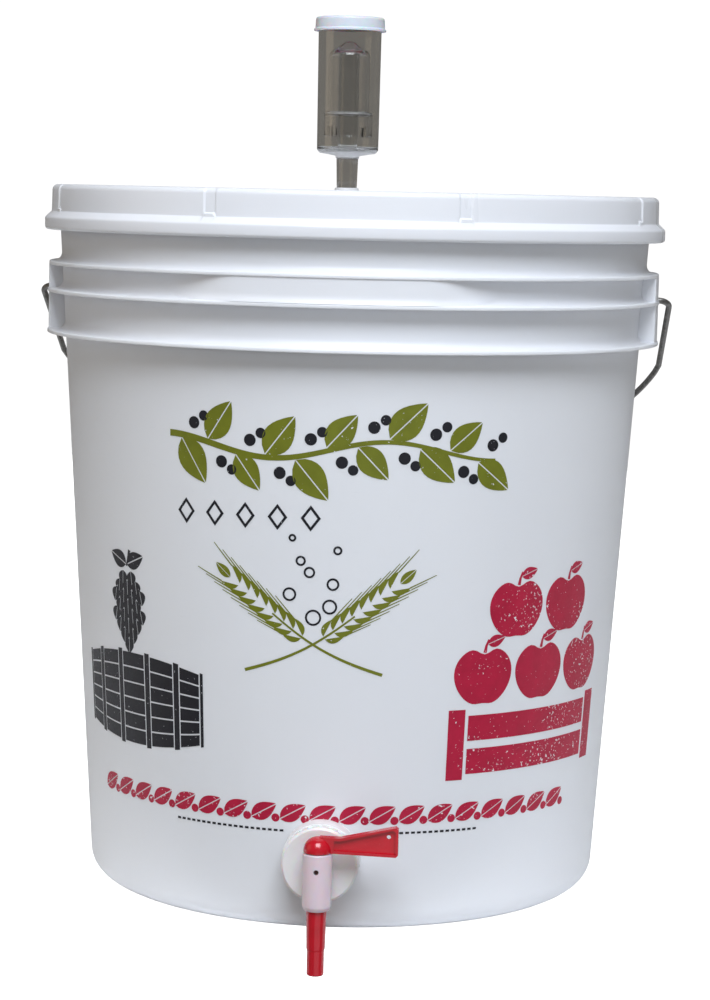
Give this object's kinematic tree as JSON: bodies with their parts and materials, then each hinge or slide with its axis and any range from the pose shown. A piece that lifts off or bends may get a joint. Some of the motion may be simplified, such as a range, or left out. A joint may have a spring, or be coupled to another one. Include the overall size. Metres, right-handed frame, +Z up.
{
  "type": "plastic fermenting bucket",
  "caption": "Tapered white plastic fermenting bucket with a push-fit lid, clear floating-bell airlock, wire bail handle and a turning lever tap near the base.",
  "frame": {"origin": "centre of the foot ring that the bucket stands on, on the pail's axis", "axes": "+Z up along the pail's axis; -Y towards the tap; +X and -X towards the two bail ears"},
  "size_m": [0.3696, 0.3695, 0.5082],
  "materials": {
    "pail_white": "satin moulded white polyethylene",
    "lid_white": "satin moulded white polyethylene",
    "gasket_rubber": "soft matte seal",
    "grommet_rubber": "matte grey rubber",
    "airlock_clear": "clear polystyrene",
    "float_clear": "clear polystyrene",
    "cap_white": "translucent white polyethylene",
    "wire_steel": "dull galvanised wire",
    "grip_plastic": "moulded white plastic",
    "tap_natural": "milky natural polypropylene",
    "tap_red": "glossy red plastic",
    "washer_white": "white silicone rubber",
    "washer_grey": "grey rubber"
  },
  "bodies": {
    "pail": {"bucket_body": "pail_white", "tap_body": "tap_natural", "tap_outer_washer": "washer_white", "tap_inner_washer": "washer_grey", "tap_back_nut": "tap_natural"},
    "lid": {"lid": "lid_white", "lid_gasket": "gasket_rubber", "lid_grommet": "grommet_rubber"},
    "airlock": {"airlock_body": "airlock_clear"},
    "float": {"airlock_float": "float_clear"},
    "cap": {"airlock_cap": "cap_white"},
    "bail": {"bail_wire": "wire_steel"},
    "grip": {"bail_grip": "grip_plastic"},
    "key": {"tap_key": "tap_red"}
  },
  "joints": [
    {"name": "lid_lift", "type": "slide", "parent": "pail", "child": "lid", "axis": [0, 0, 1], "range_m": [0, 0.16]},
    {"name": "airlock_lift", "type": "slide", "parent": "lid", "child": "airlock", "axis": [0, 0, 1], "range_m": [0, 0.06]},
    {"name": "float_rise", "type": "slide", "parent": "airlock", "child": "float", "axis": [0, 0, 1], "range_m": [0, 0.004]},
    {"name": "cap_lift", "type": "slide", "parent": "airlock", "child": "cap", "axis": [0, 0, 1], "range_m": [0, 0.025]},
    {"name": "bail_swing", "type": "hinge", "parent": "pail", "child": "bail", "pos_m": [0, 0, 0.341], "axis": [1, 0, 0], "range_deg": [0, 248]},
    {"name": "grip_spin", "type": "hinge", "parent": "bail", "child": "grip", "pos_m": [0, 0.17222, 0.22484], "axis": [1, 0, 0], "continuous": true},
    {"name": "key_turn", "type": "hinge", "parent": "pail", "child": "key", "pos_m": [0, -0.18, 0.0425], "axis": [0, 0, 1], "range_deg": [-180, 0]}
  ]
}
